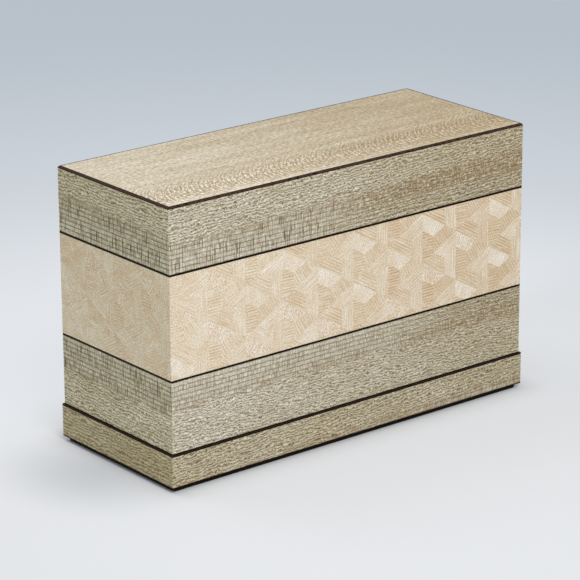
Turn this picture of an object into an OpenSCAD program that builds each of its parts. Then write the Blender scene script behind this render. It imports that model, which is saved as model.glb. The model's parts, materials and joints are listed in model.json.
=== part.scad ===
// Wooden puzzle box with four whirling parquetry panels, a lift-off lid and a hidden drawer.
// Origin at the centre of the foot's underside, X along the length, Y to the back, Z up. Millimetres.

/* [Body] */
// Length of the box body between its end faces
body_l = 250; // [220:1:400]
// Width of the box body between its front and back faces
body_w = 100; // [96:1:200]
// Thickness of the lid's walls and of the lower band's walls
wall_t = 8.5; // [8.5:0.1:12]

/* [Heights, from the floor up] */
// Height of the foot plate under the plinth
foot_h = 3; // [2:0.1:8]
// Thickness of the dark edging under the plinth boards
base_edging_h = 0.7; // [0.5:0.1:2]
// Height of the plinth boards
plinth_h = 17.2; // [12:0.1:40]
// Height of the cap moulding's ledge on the plinth
cap_ledge_h = 1.1; // [0.6:0.1:4]
// Height of the shadow gap between the ledge and the lower band
cap_gap_h = 0.5; // [0.3:0.1:2]
// Height of the lower lacewood band, which holds the drawer
lower_band_h = 40.1; // [34:0.1:80]
// Thickness of each dark stringing line
string_h = 1.1; // [0.8:0.1:3]
// Height of the parquetry band
parquet_band_h = 57.8; // [40:0.1:100]
// Height of the upper lacewood band, which is the lid's walls
upper_band_h = 35.6; // [32:0.1:80]
// Height of the dark edging around the lid's top
lid_edging_h = 1.3; // [1:0.1:3]

/* [Plinth] */
// How far the plinth stands out from the body
plinth_overhang = 1; // [0.5:0.1:5]
// How far the foot plate is set back from the plinth's face
foot_inset = 2.6; // [1:0.1:10]
// How far the shadow gap is set back from the body's face
cap_gap_inset = 0.6; // [0.3:0.1:3]
// Gap left at the mitres of the edgings and the stringing
mitre_gap = 0.02; // [0.01:0.01:0.1]

/* [Parquetry] */
// Side of the unit triangle; a tile is three of them
tile_side = 9.62; // [7:0.01:16]
// Thickness of the tiles
tile_t = 1; // [0.6:0.1:1.5]
// Gap left between neighbouring tiles
tile_kerf = 0.08; // [0.04:0.01:0.3]
// Distance from the band's top down to the highest peaks of the pattern
pattern_drop = 0.9; // [0:0.1:10]
// Thickness of the tiles on a panel's leading end
end_tile_t = 0.8; // [0.5:0.1:2]

/* [Panels] */
// Thickness of a panel, its core and tiles together
panel_t = 3.5; // [3:0.1:5]
// Distance that each panel slides
panel_travel = 12.5; // [8:0.5:16]
// Gap above and below a panel
panel_play = 0.15; // [0.1:0.01:0.4]
// Gap at the seam between two panels
seam_gap = 0.15; // [0.1:0.01:0.4]
// Height of a runner's hook
hook_h = 8; // [7:0.1:12]
// Height of a runner's neck, which passes over the liner's lip
neck_h = 4; // [3.2:0.1:5]
// Thickness of the liner's lip that a hook runs behind
lip_t = 2.2; // [1.5:0.1:4]
// Distance from a panel's leading end to its runners
runner_head_margin = 28; // [27:0.5:34]
// Distance from a panel's trailing end of the body to its runners
runner_tail_margin = 22; // [18:0.5:26]
// How far a runner reaches in past the inner face of the walls
runner_reach = 1; // [0.6:0.1:3]
// Clearance of everything that slides in the liner
slide_gap = 0.3; // [0.2:0.01:0.5]

/* [Liner and compartment] */
// Thickness of the liner that is left behind a groove
liner_web_t = 2.5; // [2:0.1:5]
// Height that the liner stands up inside the lid
liner_rise = 23.4; // [12:0.1:26]
// Clearance between the lid's walls and the liner
lid_gap = 0.3; // [0.2:0.01:0.6]
// Gap under the lid's walls
lid_play = 0.1; // [0.05:0.01:0.3]
// Thickness of the compartment's floor
floor_t = 3; // [2:0.1:6]
// Thickness of the felt linings
lining_t = 1; // [0.5:0.1:2]
// Gap around the felt linings
lining_gap = 0.5; // [0.2:0.1:2]

/* [Rotor] */
// Thickness of the deck that carries the rotor
deck_t = 4; // [3:0.1:6]
// Radius of the circle that the drive pins stand on
pin_circle_r = 30; // [24:0.5:31]
// Diameter of a drive pin
pin_d = 4; // [3:0.1:5]
// Clearance on each side of a pin in its slot
pin_gap = 0.2; // [0.1:0.01:0.4]
// Thickness of the rotor disc
rotor_t = 2.6; // [2:0.1:5]
// Wood outside the pins on the rotor and around the slot in an arm
rim_w = 3; // [2:0.1:4]
// Height of the rotor above the deck
rotor_lift = 0.7; // [0.4:0.1:2]
// Height of the drive arms above the rotor
arm_lift = 0.4; // [0.3:0.1:2]
// Thickness of a drive arm
arm_t = 3; // [2:0.1:4]
// Width of a drive arm
arm_w = 12; // [11:0.5:14]
// Height of the compartment's floor above the drive arms
floor_lift = 0.8; // [0.5:0.1:3]
// Diameter of the rotor's axle
axle_d = 6; // [4:0.1:10]
// Radial clearance of the rotor on its axle
axle_gap = 0.05; // [0.03:0.01:0.1]
// Diameter of the axle's head
axle_head_d = 11; // [8:0.1:16]
// Thickness of the axle's head
axle_head_t = 1.2; // [0.8:0.1:2]
// Gap under the axle's head
axle_head_gap = 0.2; // [0.1:0.01:0.4]

/* [Lid] */
// Thickness of the board inside the lid
lid_board_t = 6; // [4:0.1:8]
// Width of the lid's edging, seen from above
lid_edging_w = 1.6; // [1.2:0.1:5]
// Size of the chamfer on the lid's edging
lid_chamfer = 0.8; // [0.3:0.1:1]

/* [Magnets] */
// Diameter of a latch magnet
magnet_d = 4; // [3:0.1:4.2]
// Thickness of a latch magnet
magnet_t = 3; // [2:0.1:3]
// Clearance around a magnet in its pocket
magnet_gap = 0.05; // [0.02:0.01:0.2]
// Wood between a magnet and the inner face of its wall
magnet_skin = 0.7; // [0.5:0.1:1]
// Distance from a long side's end to its magnets
magnet_from_end = 55; // [52:1:70]
// Half the distance between the drawer's two magnets
drawer_magnet_spread = 16; // [8:1:18]

/* [Drawer] */
// Length of the drawer that stays in the box when it is fully open
drawer_held = 32; // [28:1:90]
// Gap around the drawer's mitred front
front_gap = 0.15; // [0.1:0.01:0.4]
// Clearance between a drawer side and the lower walls
drawer_side_gap = 0.4; // [0.3:0.1:1]
// Thickness of the drawer's sides
drawer_side_t = 5; // [4:0.1:8]
// Height of the drawer's sides
drawer_side_h = 32.5; // [20:0.1:32.5]
// Thickness of the drawer's back
drawer_back_t = 6; // [4:0.1:8]
// Gap between the drawer's back and the deck above it
drawer_head_gap = 1.5; // [1:0.1:2]
// Free depth behind the drawer
drawer_rear_gap = 11; // [3:0.5:20]
// Thickness of the drawer's bottom
drawer_bottom_t = 3; // [2:0.1:5]
// Height of the drawer's bottom above the lower edge of its sides
drawer_bottom_lift = 1; // [0.5:0.1:3]
// Height of the strips that the drawer runs on
strip_h = 0.8; // [0.6:0.1:2]
// Width of the strips that the drawer runs on
strip_w = 4; // [2:0.1:4]
// Distance from a strip's end to the inner face of the end walls
strip_end_gap = 6; // [2:0.5:10]
// Gap between the strips and the drawer's sides
strip_gap = 0.2; // [0.1:0.01:0.3]
// Length of the stop under the deck, along the box
stop_l = 8; // [5:0.5:12]
// Width of the stop, across the box
stop_w = 24; // [12:1:40]
// Height of the stop
stop_h = 3; // [2.5:0.1:3]
// Gap between the stop and the open drawer's back
stop_gap = 0.3; // [0.1:0.01:0.5]

/* [Hidden] */
$fn = 48;

// How far a cutting tool reaches past the face it opens
past = 1;
sides = ["back", "left", "front", "right"];

// Heights above the floor
z_edging = foot_h;
z_plinth = z_edging + base_edging_h;
z_cap = z_plinth + plinth_h;
z_gap = z_cap + cap_ledge_h;
z_lower = z_gap + cap_gap_h;
z_string_low = z_lower + lower_band_h;
z_parquet = z_string_low + string_h;
z_string_high = z_parquet + parquet_band_h;
z_upper = z_string_high + string_h;
z_lid_edging = z_upper + upper_band_h;
z_top = z_lid_edging + lid_edging_h;
z_deck = z_parquet - deck_t;
z_rotor = z_parquet + rotor_lift;
z_arm = z_rotor + rotor_t + arm_lift;
z_floor = z_arm + arm_t + floor_lift;
z_liner_top = z_upper + liner_rise;
z_panel = z_parquet + panel_play;
panel_h = parquet_band_h - 2 * panel_play;
z_panel_top = z_panel + panel_h;
z_drawer = z_lower + strip_h + strip_gap;

// Depths in from the body's face
d_liner = panel_t + slide_gap;
d_hook = d_liner + lip_t + slide_gap;
d_runner = wall_t + runner_reach;
d_groove = d_runner + slide_gap;
d_inner = d_groove + liner_web_t;
d_liner_top = wall_t + lid_gap;
d_magnet = wall_t - magnet_skin - magnet_d / 2;

// Half the angle that the rotor turns through
rotor_swing = asin(panel_travel / 2 / pin_circle_r);
pin_inner_r = pin_circle_r * cos(rotor_swing);
arm_tip_r = pin_inner_r - pin_d / 2 - pin_gap - rim_w;

drawer_x0 = -body_l / 2 + wall_t + drawer_rear_gap;
drawer_x1 = body_l / 2 - wall_t;
drawer_half_w = body_w / 2 - wall_t - drawer_side_gap;
drawer_inner_half_w = drawer_half_w - drawer_side_t;

// Each side is built as the back one, its face at +Y and its panel sliding to +X, and turned into place.
function turn_of(side) = 90 * search([side], sides)[0];
function is_long(side) = side == "back" || side == "front";
function length_of(side) = is_long(side) ? body_l : body_w;
function face_of(side) = (is_long(side) ? body_w : body_l) / 2;

module on_side(side) {
    rotate([0, 0, turn_of(side)]) children();
}

// A block on one side, from u0 to u1 along it and from depth d0 to d1 in from its face
module slab(side, u0, u1, d0, d1, z0, h) {
    on_side(side)
        translate([u0, face_of(side) - d1, z0])
            cube([u1 - u0, d1 - d0, h]);
}

// A board with 45 degree ends, from depth d0 to d1 in from the face
module mitred(side, d0, d1, z0, h, end_gap = 0) {
    half = length_of(side) / 2 - end_gap;
    face = face_of(side);
    on_side(side)
        translate([0, 0, z0])
            linear_extrude(h)
                polygon([[d1 - half, face - d1], [half - d1, face - d1], [half - d0, face - d0],
                         [d0 - half, face - d0]]);
}

// A block centred on the vertical axis, its faces a depth in from the body's faces
module centred_block(depth, z0, h) {
    translate([depth - body_l / 2, depth - body_w / 2, z0])
        cube([body_l - 2 * depth, body_w - 2 * depth, h]);
}

module wood_lacewood() {
    color([0.66, 0.61, 0.49]) children();
}

module wood_dark() {
    color([0.13, 0.10, 0.09]) children();
}

module wood_inner() {
    color([0.72, 0.58, 0.40]) children();
}

module felt() {
    color([0.20, 0.22, 0.20]) children();
}

module steel() {
    color([0.75, 0.76, 0.78]) children();
}

module brass() {
    color([0.78, 0.62, 0.30]) children();
}

// Magnets
function magnet_places(side) =
    let(u = length_of(side) / 2 - magnet_from_end) u > magnet_d ? [-u, u] : [0];

module magnet_set(side, places, z0, gap = 0) {
    on_side(side)
        for (u = places)
            translate([u, face_of(side) - d_magnet, z0])
                cylinder(h = magnet_t, d = magnet_d + 2 * gap);
}

module magnet_pockets(side, places, z0, opens_up) {
    on_side(side)
        for (u = places)
            translate([u, face_of(side) - d_magnet, opens_up ? z0 : z0 - past])
                cylinder(h = magnet_t + past, d = magnet_d + 2 * magnet_gap);
}

// Case
module foot_plate() {
    wood_dark() centred_block(foot_inset - plinth_overhang, 0, foot_h);
}

module base_edging() {
    wood_dark()
        for (side = sides) mitred(side, -plinth_overhang, wall_t, z_edging, base_edging_h, mitre_gap);
}

module base_board() {
    wood_inner() centred_block(wall_t, z_edging, z_lower - z_edging);
}

module plinth_board(side) {
    wood_lacewood() mitred(side, -plinth_overhang, wall_t, z_plinth, plinth_h);
}

module plinth_cap() {
    wood_dark()
        for (side = sides) {
            mitred(side, -plinth_overhang, cap_gap_inset, z_cap, cap_ledge_h, mitre_gap);
            mitred(side, cap_gap_inset, wall_t, z_cap, cap_ledge_h + cap_gap_h, mitre_gap);
        }
}

module lower_wall(side) {
    wood_lacewood() mitred(side, 0, wall_t, z_lower, lower_band_h);
}

module drawer_runners() {
    wood_dark()
        for (side = ["front", "back"])
            slab(side, -drawer_x1 + strip_end_gap, drawer_x1 - strip_end_gap,
                 body_w / 2 - drawer_half_w + (drawer_side_t - strip_w) / 2,
                 body_w / 2 - drawer_half_w + (drawer_side_t + strip_w) / 2, z_lower, strip_h);
}

module drawer_stop() {
    wood_inner()
        translate([drawer_x1 - drawer_held + drawer_back_t + stop_gap, -stop_w / 2, z_deck - stop_h])
            cube([stop_l, stop_w, stop_h]);
}

module lower_stringing() {
    wood_dark()
        for (side = sides) mitred(side, 0, wall_t, z_string_low, string_h, mitre_gap);
}

module mechanism_deck() {
    wood_inner()
        difference() {
            centred_block(wall_t, z_deck, deck_t);
            // Room for the drawer's front, below the stringing
            slab("right", -body_w / 2, body_w / 2, 0, wall_t + slide_gap, z_deck - past, deck_t - string_h + past);
            translate([0, 0, z_deck - past]) cylinder(h = deck_t + 2 * past, d = axle_d);
        }
}

module rotor_axle() {
    brass() {
        translate([0, 0, z_deck])
            cylinder(h = z_rotor + rotor_t + axle_head_gap + axle_head_t - z_deck, d = axle_d);
        translate([0, 0, z_rotor + rotor_t + axle_head_gap])
            cylinder(h = axle_head_t, d = axle_head_d);
    }
}

// A liner wall: thick beside the panel and thin inside the lid,
// with a groove for each runner and a window for the drive arm
module liner_wall(side) {
    outer_half = length_of(side) / 2 - (is_long(side) ? d_inner : d_liner);
    upper_half = length_of(side) / 2 - (is_long(side) ? d_inner : d_liner_top);
    groove_end = length_of(side) / 2 - runner_head_margin + panel_travel + slide_gap;
    window_half = arm_w / 2 + panel_travel / 2 + slide_gap;
    neck_cut = panel_play + neck_h + slide_gap;
    hook_cut = panel_play + hook_h + slide_gap;
    wood_inner()
        difference() {
            union() {
                slab(side, -outer_half, outer_half, d_liner, d_inner, z_parquet, parquet_band_h);
                slab(side, -upper_half, upper_half, d_liner_top, d_inner, z_parquet, z_liner_top - z_parquet);
            }
            slab(side, -outer_half - past, groove_end, d_liner - past, d_groove, z_parquet - past,
                 neck_cut + past);
            slab(side, -outer_half - past, groove_end, d_hook - slide_gap, d_groove, z_parquet - past,
                 hook_cut + past);
            slab(side, -outer_half - past, groove_end, d_liner - past, d_liner_top, z_string_high - neck_cut,
                 neck_cut + past);
            slab(side, -outer_half - past, groove_end, d_liner - past, d_groove, z_string_high - neck_cut,
                 neck_cut);
            slab(side, -outer_half - past, groove_end, d_hook - slide_gap, d_groove, z_string_high - hook_cut,
                 hook_cut);
            slab(side, -window_half, window_half, d_groove - past, d_inner + past, z_arm - slide_gap,
                 arm_t + 2 * slide_gap);
        }
}

module compartment_floor() {
    wood_inner() centred_block(d_inner, z_floor, floor_t);
}

module compartment_lining() {
    felt() centred_block(d_inner + lining_gap, z_floor + floor_t, lining_t);
}

module upper_stringing() {
    wood_dark()
        for (side = sides) mitred(side, 0, d_liner_top, z_string_high, string_h, mitre_gap);
}

// Parquetry: hexagons split in two, in three directions. Outlines are [right, up] as seen from outside.
e_up = tile_side * [cos(30), 0.5];
e_down = tile_side * [cos(30), -0.5];
column_w = 3 * tile_side * cos(30);
row_h = 3 * tile_side;
half_hexagon = tile_side * [[-1, 0], [1, 0], [0.5, cos(30)], [-0.5, cos(30)]];
// Each hexagon's centre from a peak of the pattern, and the direction of its split
hexagons = [[e_down, -30], [-e_up, 30], [2 * (e_down - e_up), 90]];

function turned(outline, angle) =
    [for (p = outline) [p.x * cos(angle) - p.y * sin(angle), p.x * sin(angle) + p.y * cos(angle)]];

function moved(outline, by) = [for (p = outline) p + by];

// The part of a convex outline that lies more than a gap to the left of the line from a to b
function left_of(outline, a, b, gap) =
    let(n = [a.y - b.y, b.x - a.x] / norm(b - a), limit = n * a + gap)
    [for (i = [0:len(outline) - 1])
        let(p = outline[i], q = outline[(i + 1) % len(outline)], dp = n * p - limit, dq = n * q - limit)
        each concat(dp >= 0 ? [p] : [], (dp >= 0) != (dq >= 0) ? [p + (q - p) * dp / (dp - dq)] : [])];

// A face's outline cut by every side of a tile in turn
function cut_to(outline, tile, i = 0) =
    i == len(tile) || len(outline) < 3 ? outline
    : cut_to(left_of(outline, tile[i], tile[(i + 1) % len(tile)], tile_kerf / 2), tile, i + 1);

function area_of(outline) =
    len(outline) < 3 ? 0
    : let(n = len(outline))
      [for (i = [0:n - 1]) cross(outline[i], outline[(i + 1) % n]) / 2] * [for (i = [0:n - 1]) 1];

// Tiles between two places along a side, measured to the right as seen from outside.
// The short sides start half a pattern on, so that it runs on around the corners.
module tiles(side, right_0, right_1, thickness) {
    face = [[right_0, z_panel], [right_1, z_panel], [right_1, z_panel_top], [right_0, z_panel_top]];
    smallest = tile_side * tile_side / 80;
    columns = ceil(length_of(side) / 2 / column_w) + 1;
    rows = ceil(parquet_band_h / row_h) + 1;
    for (column = [-columns:columns], row = [-1:rows], hexagon = hexagons, flip = [0, 180]) {
        odd = (abs(column) + (is_long(side) ? 0 : 1)) % 2;
        peak = [column * column_w, z_string_high - pattern_drop - (row + odd / 2) * row_h];
        outline = cut_to(face, moved(turned(half_hexagon, hexagon[1] + flip), peak + hexagon[0]));
        if (area_of(outline) > smallest)
            on_side(side)
                translate([0, face_of(side) - thickness, 0])
                    rotate([90, 0, 180])
                        linear_extrude(thickness) polygon(outline);
    }
}

// Panels. A panel's leading end shows on the next side's face, and is tiled with that face's pattern.
module panel_parquetry(side) {
    half = length_of(side) / 2;
    next_side = sides[(search([side], sides)[0] + 3) % 4];
    next_half = length_of(next_side) / 2;
    color([0.85, 0.79, 0.68]) {
        tiles(side, -half, half - panel_t - seam_gap, tile_t);
        tiles(next_side, next_half - panel_t, next_half - tile_t - tile_kerf, end_tile_t);
    }
}

module panel_core(side) {
    half = length_of(side) / 2;
    wood_inner()
        slab(side, panel_t + seam_gap - half, half - end_tile_t, tile_t, panel_t, z_panel, panel_h);
}

// Two battens with an L section, hooked behind the liner's lips, and bored for the latch magnets
module panel_runners(side) {
    u0 = runner_tail_margin - length_of(side) / 2;
    u1 = length_of(side) / 2 - runner_head_margin;
    wood_inner()
        difference() {
            union() {
                slab(side, u0, u1, panel_t, d_runner, z_panel, neck_h);
                slab(side, u0, u1, d_hook, d_runner, z_panel, hook_h);
                slab(side, u0, u1, panel_t, d_runner, z_panel_top - neck_h, neck_h);
                slab(side, u0, u1, d_hook, d_runner, z_panel_top - hook_h, hook_h);
            }
            magnet_pockets(side, magnet_places(side), z_panel_top - magnet_t, true);
            if (side == "right")
                magnet_pockets(side, [-drawer_magnet_spread, drawer_magnet_spread], z_panel, false);
        }
}

module panel_drive_arm(side) {
    slot_y0 = pin_inner_r - pin_d / 2 - pin_gap;
    slot_y1 = pin_circle_r + pin_d / 2 + pin_gap;
    slot_w = pin_d + 2 * pin_gap;
    wood_inner()
        on_side(side)
            translate([-panel_travel / 2, 0, z_arm])
                difference() {
                    translate([-arm_w / 2, arm_tip_r, 0])
                        cube([arm_w, face_of(side) - d_runner - arm_tip_r, arm_t]);
                    translate([-slot_w / 2, slot_y0, -past])
                        cube([slot_w, slot_y1 - slot_y0, arm_t + 2 * past]);
                }
}

module panel_magnets(side) {
    steel() {
        magnet_set(side, magnet_places(side), z_panel_top - magnet_t);
        if (side == "right") magnet_set(side, [-drawer_magnet_spread, drawer_magnet_spread], z_panel);
    }
}

// Rotor
module rotor_disc() {
    wood_inner()
        translate([0, 0, z_rotor])
            difference() {
                cylinder(h = rotor_t, r = pin_circle_r + pin_d / 2 + rim_w);
                translate([0, 0, -past])
                    cylinder(h = rotor_t + 2 * past, d = axle_d + 2 * axle_gap);
                for (i = [0:3])
                    rotate([0, 0, 90 * i + rotor_swing])
                        translate([0, pin_circle_r, -past])
                            cylinder(h = rotor_t + 2 * past, d = pin_d);
            }
}

module rotor_pins() {
    brass()
        for (i = [0:3])
            rotate([0, 0, 90 * i + rotor_swing])
                translate([0, pin_circle_r, z_rotor])
                    cylinder(h = z_arm + arm_t - z_rotor, d = pin_d);
}

// Lid
module lid_wall(side) {
    wood_lacewood()
        difference() {
            mitred(side, 0, wall_t, z_upper + lid_play, upper_band_h - lid_play);
            magnet_pockets(side, magnet_places(side), z_upper + lid_play, false);
        }
}

module lid_board() {
    wood_inner() centred_block(wall_t, z_lid_edging - lid_board_t, lid_board_t);
}

module lid_top_veneer() {
    wood_lacewood() centred_block(lid_edging_w, z_lid_edging, lid_edging_h);
}

module lid_edging() {
    wood_dark()
        for (side = sides)
            intersection() {
                mitred(side, 0, lid_edging_w, z_lid_edging, lid_edging_h, mitre_gap);
                on_side(side)
                    translate([-length_of(side) / 2, face_of(side), z_lid_edging])
                        rotate([90, 0, 90])
                            linear_extrude(length_of(side))
                                polygon([[-lid_edging_w, 0], [0, 0], [0, lid_edging_h - lid_chamfer],
                                         [-lid_chamfer, lid_edging_h], [-lid_edging_w, lid_edging_h]]);
            }
}

module lid_magnets() {
    steel()
        for (side = sides) magnet_set(side, magnet_places(side), z_upper + lid_play);
}

// Drawer
module drawer_front() {
    wood_lacewood()
        difference() {
            mitred("right", 0, wall_t, z_lower + front_gap, lower_band_h - 2 * front_gap, front_gap);
            magnet_pockets("right", [-drawer_magnet_spread, drawer_magnet_spread],
                           z_string_low - front_gap - magnet_t, true);
        }
}

module drawer_sides() {
    wood_inner()
        for (y0 = [-drawer_half_w, drawer_half_w - drawer_side_t])
            translate([drawer_x0, y0, z_drawer])
                cube([drawer_x1 - drawer_x0, drawer_side_t, drawer_side_h]);
}

module drawer_back() {
    wood_inner()
        translate([drawer_x0, -drawer_inner_half_w, z_drawer])
            cube([drawer_back_t, 2 * drawer_inner_half_w, z_deck - drawer_head_gap - z_drawer]);
}

module drawer_bottom() {
    wood_inner()
        translate([drawer_x0 + drawer_back_t, -drawer_inner_half_w, z_drawer + drawer_bottom_lift])
            cube([drawer_x1 - drawer_x0 - drawer_back_t, 2 * drawer_inner_half_w, drawer_bottom_t]);
}

module drawer_lining() {
    felt()
        translate([drawer_x0 + drawer_back_t + lining_gap, lining_gap - drawer_inner_half_w,
                   z_drawer + drawer_bottom_lift + drawer_bottom_t])
            cube([drawer_x1 - drawer_x0 - drawer_back_t - 2 * lining_gap,
                  2 * (drawer_inner_half_w - lining_gap), lining_t]);
}

module drawer_magnets() {
    steel()
        magnet_set("right", [-drawer_magnet_spread, drawer_magnet_spread], z_string_low - front_gap - magnet_t);
}

foot_plate();
base_edging();
base_board();
plinth_board("front");  // plinth_front
plinth_board("back");  // plinth_back
plinth_board("left");  // plinth_left
plinth_board("right");  // plinth_right
plinth_cap();
lower_wall("front");  // lower_front_wall
lower_wall("back");  // lower_back_wall
lower_wall("left");  // lower_left_wall
drawer_runners();
drawer_stop();
lower_stringing();
mechanism_deck();
rotor_axle();
liner_wall("front");  // liner_front
liner_wall("back");  // liner_back
liner_wall("left");  // liner_left
liner_wall("right");  // liner_right
compartment_floor();
compartment_lining();
upper_stringing();
panel_core("front");  // front_panel_core
panel_parquetry("front");  // front_panel_parquetry
panel_runners("front");  // front_panel_runners
panel_drive_arm("front");  // front_panel_drive_arm
panel_magnets("front");  // front_panel_magnets
panel_core("left");  // left_panel_core
panel_parquetry("left");  // left_panel_parquetry
panel_runners("left");  // left_panel_runners
panel_drive_arm("left");  // left_panel_drive_arm
panel_magnets("left");  // left_panel_magnets
panel_core("back");  // back_panel_core
panel_parquetry("back");  // back_panel_parquetry
panel_runners("back");  // back_panel_runners
panel_drive_arm("back");  // back_panel_drive_arm
panel_magnets("back");  // back_panel_magnets
panel_core("right");  // right_panel_core
panel_parquetry("right");  // right_panel_parquetry
panel_runners("right");  // right_panel_runners
panel_drive_arm("right");  // right_panel_drive_arm
panel_magnets("right");  // right_panel_magnets
rotor_disc();
rotor_pins();
lid_wall("front");  // lid_front_wall
lid_wall("back");  // lid_back_wall
lid_wall("left");  // lid_left_wall
lid_wall("right");  // lid_right_wall
lid_board();
lid_top_veneer();
lid_edging();
lid_magnets();
drawer_front();
drawer_sides();
drawer_back();
drawer_bottom();
drawer_lining();
drawer_magnets();
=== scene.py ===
"""Wooden puzzle box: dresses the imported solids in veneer, felt and metal, and lights them in a plain studio.

Lengths are in metres unless a name ends in _mm. Shader patterns work in millimetres on the veneer.
"""

import json
import logging
import math
import random
from dataclasses import dataclass, field
from enum import Enum
from functools import lru_cache
from typing import Any, Iterable, Sequence, Union

import bmesh
import bpy
from bmesh.types import BMEdge, BMesh, BMFace, BMVert
from bpy.types import Material, Node, NodeSocket, NodeTree, NodeTreeInterfaceSocket, Object, World
from mathutils import Matrix, Vector

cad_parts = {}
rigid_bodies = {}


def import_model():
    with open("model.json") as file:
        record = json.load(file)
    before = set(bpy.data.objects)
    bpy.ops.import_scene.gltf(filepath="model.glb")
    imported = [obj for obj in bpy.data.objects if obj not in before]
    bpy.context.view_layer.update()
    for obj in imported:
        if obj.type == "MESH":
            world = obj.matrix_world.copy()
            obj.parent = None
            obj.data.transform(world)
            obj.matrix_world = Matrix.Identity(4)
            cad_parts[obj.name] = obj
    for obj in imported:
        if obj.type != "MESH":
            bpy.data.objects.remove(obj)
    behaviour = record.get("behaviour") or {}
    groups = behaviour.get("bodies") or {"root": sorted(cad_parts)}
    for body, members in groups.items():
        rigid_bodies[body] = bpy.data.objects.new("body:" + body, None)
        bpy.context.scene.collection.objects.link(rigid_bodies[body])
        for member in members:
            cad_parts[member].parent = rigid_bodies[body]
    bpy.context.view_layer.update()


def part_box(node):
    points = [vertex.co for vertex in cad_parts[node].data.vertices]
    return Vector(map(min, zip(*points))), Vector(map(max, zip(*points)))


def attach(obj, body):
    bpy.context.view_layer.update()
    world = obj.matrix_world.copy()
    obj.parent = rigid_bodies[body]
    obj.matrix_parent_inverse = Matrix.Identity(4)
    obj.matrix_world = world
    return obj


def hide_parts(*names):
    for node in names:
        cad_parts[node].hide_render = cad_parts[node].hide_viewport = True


LOG = logging.getLogger("puzzle_box")

Feed = Union["Value", float, Sequence[float]]
Colour = tuple[float, float, float]
Pair = tuple[float, float]
Point = tuple[float, float, float]

MM = 0.001
MERGE_DISTANCE = 0.001 * MM
FLAT_ANGLE = math.radians(1)
SHARP_ANGLE = math.radians(30)
TILE_ANGLE = math.radians(30)
GRAIN_MAP = "grain"
RUB_AND_HIGHLIGHT_LAYER = "wear"
FIGURE_LAYER = "figure"
TILE_LAYER = "tile"
LADDER_ROW_MM = 2.65
EDGE_FADE_MM = 2.5
LOG_STARTS = (0.5, 1.5)


class Axis(Enum):
    """The axis that a board's fibres run along."""

    X = 0
    Y = 1
    Z = 2

    def across(self, facing: int) -> int:
        """Returns the axis across the fibres on a face that looks along another axis."""
        return next(axis for axis in range(3) if axis not in (self.value, facing))


class Side(Enum):
    """A side of the box, with the way it faces and the way to its right as seen from outside."""

    FRONT = ((0, -1, 0), (1, 0, 0))
    LEFT = ((-1, 0, 0), (0, -1, 0))
    BACK = ((0, 1, 0), (-1, 0, 0))
    RIGHT = ((1, 0, 0), (0, 1, 0))

    @property
    def outward(self) -> Vector:
        """The way that the side faces."""
        return Vector(self.value[0])

    @property
    def rightward(self) -> Vector:
        """The way to the right along the side, as seen from outside."""
        return Vector(self.value[1])

    @property
    def is_long(self) -> bool:
        """Whether this is a long side of the box."""
        return self in (Side.FRONT, Side.BACK)

    @property
    def word(self) -> str:
        """The side's name, as the solids' names hold it."""
        return self.name.lower()

    @property
    def grain(self) -> Axis:
        """The axis that a level board on this side runs along."""
        return Axis.X if self.is_long else Axis.Y


# ---------------------------------------------------------------- shader graphs


class Value:
    """A number, vector or colour in a shader tree. Its signs and methods add the nodes that work on it."""

    def __init__(self, graph: "Graph", socket: NodeSocket) -> None:
        """Stands for one output of a node."""
        self.graph = graph
        self.socket = socket

    def math(self, operation: str, *others: Feed) -> "Value":
        """Returns what a Math node makes of this number and others."""
        return self.graph.value("Math", dict(enumerate((self, *others))), operation=operation)

    def vector_math(self, operation: str, *others: Feed, output: str = "Vector") -> "Value":
        """Returns what a Vector Math node makes of this vector and others."""
        return self.graph.value("VectorMath", dict(enumerate((self, *others))), output, operation=operation)

    def __add__(self, other: Feed) -> "Value":
        """Returns the sum."""
        return self.math("ADD", other)

    def __sub__(self, other: Feed) -> "Value":
        """Returns the difference."""
        return self.math("SUBTRACT", other)

    def __rsub__(self, other: float) -> "Value":
        """Returns a plain number less this one."""
        return self.math("MULTIPLY_ADD", -1.0, other)

    def __mul__(self, other: Feed) -> "Value":
        """Returns the product."""
        return self.math("MULTIPLY", other)

    def __truediv__(self, other: Feed) -> "Value":
        """Returns the quotient."""
        return self.math("DIVIDE", other)

    def scaled(self, by: Feed) -> "Value":
        """Returns a vector or colour multiplied part by part."""
        return self.vector_math("MULTIPLY", by)

    def parts(self) -> list["Value"]:
        """Returns the three parts of a vector."""
        return [Value(self.graph, socket) for socket in self.graph.add("SeparateXYZ", {0: self}).outputs]

    def step(self, low: Feed, high: Feed) -> "Value":
        """Returns a smooth step from 0 at low to 1 at high."""
        feeds = {"Value": self, "From Min": low, "From Max": high}
        return self.graph.value("MapRange", feeds, interpolation_type="SMOOTHSTEP")

    def span(self, low: Feed, high: Feed) -> "Value":
        """Returns low where this is 0 and high where it is 1."""
        return self.graph.value("MapRange", {"Value": self, "To Min": low, "To Max": high})

    def mix(self, first: Feed, second: Feed) -> "Value":
        """Returns the first colour where this is 0 and the second where it is 1."""
        return self.graph.value("Mix", {0: self, 6: first, 7: second}, 2, data_type="RGBA")

    def tint(self, powers: Colour) -> "Value":
        """Returns a colour whose parts are this number raised to three powers."""
        parts = {part: self.math("POWER", power) for part, power in enumerate(powers)}
        return self.graph.value("CombineColor", parts)

    def noise(self, along: float, across: float, detail: float = 2.0, roughness: float = 0.5) -> "Value":
        """Reads flat noise at this place.

        Args:
            along: How fast it changes along the fibres, per millimetre.
            across: How fast it changes across them.
            detail: How many finer layers it has.
            roughness: How strong the finer layers are.

        Returns:
            A value from 0 to 1 around 0.5.
        """
        place = self.scaled((along, across, 0.0))
        feeds = {"Vector": place, "Scale": 1.0, "Detail": detail, "Roughness": roughness}
        return self.graph.value("TexNoise", feeds, noise_dimensions="2D")


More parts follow.
